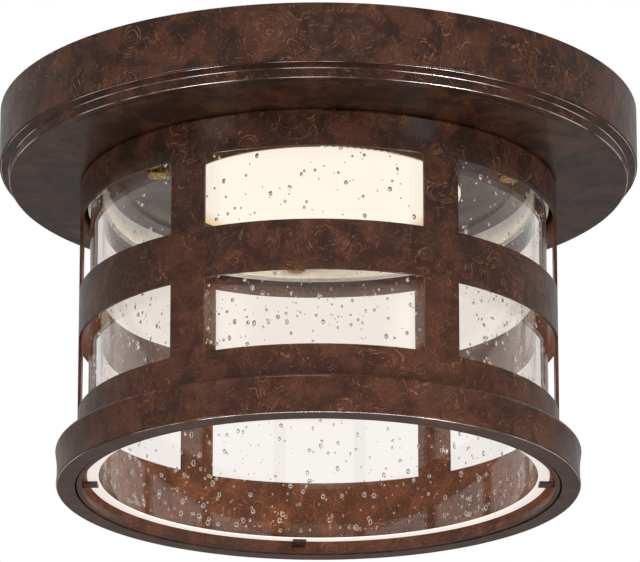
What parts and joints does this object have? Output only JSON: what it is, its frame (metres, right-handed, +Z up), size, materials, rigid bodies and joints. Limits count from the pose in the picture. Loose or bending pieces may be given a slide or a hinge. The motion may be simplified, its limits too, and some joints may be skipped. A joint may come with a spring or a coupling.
{
  "type": "porch ceiling lantern",
  "caption": "Flush ceiling lantern: round pan, windowed metal cage round a seeded glass cylinder open below, and a flat light module with its driver in the pan.",
  "frame": {"origin": "centre of the ceiling plane, where the mounting plate's two box screws are centred", "axes": "+Z up into the ceiling, -Y towards the front seen in the picture, +X to the right"},
  "size_m": [0.2604, 0.2604, 0.1587],
  "materials": {
    "rust_bronze_finish": "brushed rust bronze",
    "seeded_glass": "clear with seed bubbles",
    "white_silicone": "matte",
    "opal_plastic": "satin, lit",
    "brass_nuts": "polished knurled",
    "zinc_steel": "zinc plated",
    "cast_aluminium": "as cast",
    "white_board": "solder mask",
    "green_board": "solder mask",
    "light_chips": "phosphor",
    "white_case": "moulded",
    "transformer_tape": "taped winding on ferrite",
    "capacitor_sleeve": "shrunk sleeve",
    "terminal_plastic": "moulded",
    "black_rubber": "matte",
    "foam_seal": "closed-cell foam",
    "green_screw": "green passivated",
    "red_lead": "PVC",
    "black_lead": "PVC"
  },
  "bodies": {
    "root": {"canopy": "rust_bronze_finish", "cage": "rust_bronze_finish", "trim_ring": "rust_bronze_finish", "glass_clip_right": "rust_bronze_finish", "glass_clip_rear": "rust_bronze_finish", "glass_clip_left": "rust_bronze_finish", "glass_clip_front": "rust_bronze_finish", "glass_cylinder": "seeded_glass", "glass_gasket": "white_silicone", "diffuser": "opal_plastic", "canopy_cap_nuts": "brass_nuts", "canopy_washers": "zinc_steel", "canopy_screws": "zinc_steel", "cage_screws": "zinc_steel", "lock_nuts": "zinc_steel", "module_nuts": "zinc_steel", "board_screws": "zinc_steel", "case_screws": "zinc_steel", "terminal_screws": "zinc_steel", "mounting_plate": "zinc_steel", "ground_screw": "green_screw", "ceiling_seal": "foam_seal", "heat_sink": "cast_aluminium", "light_board": "white_board", "light_chips": "light_chips", "driver_board": "green_board", "driver_case": "white_case", "driver_lid": "white_case", "transformer": "transformer_tape", "capacitors": "capacitor_sleeve", "terminal_block": "terminal_plastic", "lead_gland": "black_rubber", "light_lead_red": "red_lead", "light_lead_black": "black_lead"},
    "washer_right": {"washer_right": "zinc_steel"},
    "thumb_nut_right": {"thumb_nut_right": "brass_nuts"},
    "washer_rear": {"washer_rear": "zinc_steel"},
    "thumb_nut_rear": {"thumb_nut_rear": "brass_nuts"},
    "washer_left": {"washer_left": "zinc_steel"},
    "thumb_nut_left": {"thumb_nut_left": "brass_nuts"}
  },
  "joints": [
    {"name": "washer_right_slide", "type": "slide", "parent": "root", "child": "washer_right", "axis": [0, 0, -1], "range_m": [0, 0.00397]},
    {"name": "thumb_nut_right_turn", "type": "hinge", "parent": "washer_right", "child": "thumb_nut_right", "pos_m": [0.07568, -0.03259, -0.0361], "axis": [0, 0, -1], "range_deg": [0, 1800]},
    {"name": "washer_rear_slide", "type": "slide", "parent": "root", "child": "washer_rear", "axis": [0, 0, -1], "range_m": [0, 0.00397]},
    {"name": "thumb_nut_rear_turn", "type": "hinge", "parent": "washer_rear", "child": "thumb_nut_rear", "pos_m": [-0.00961, 0.08184, -0.0361], "axis": [0, 0, -1], "range_deg": [0, 1800]},
    {"name": "washer_left_slide", "type": "slide", "parent": "root", "child": "washer_left", "axis": [0, 0, -1], "range_m": [0, 0.00397]},
    {"name": "thumb_nut_left_turn", "type": "hinge", "parent": "washer_left", "child": "thumb_nut_left", "pos_m": [-0.06607, -0.04924, -0.0361], "axis": [0, 0, -1], "range_deg": [0, 1800]}
  ],
  "couplings": [
    {"joint": "thumb_nut_right_turn", "follows": "washer_right_slide", "rad_per_m": 7913.3},
    {"joint": "thumb_nut_rear_turn", "follows": "washer_rear_slide", "rad_per_m": 7913.3},
    {"joint": "thumb_nut_left_turn", "follows": "washer_left_slide", "rad_per_m": 7913.3}
  ]
}
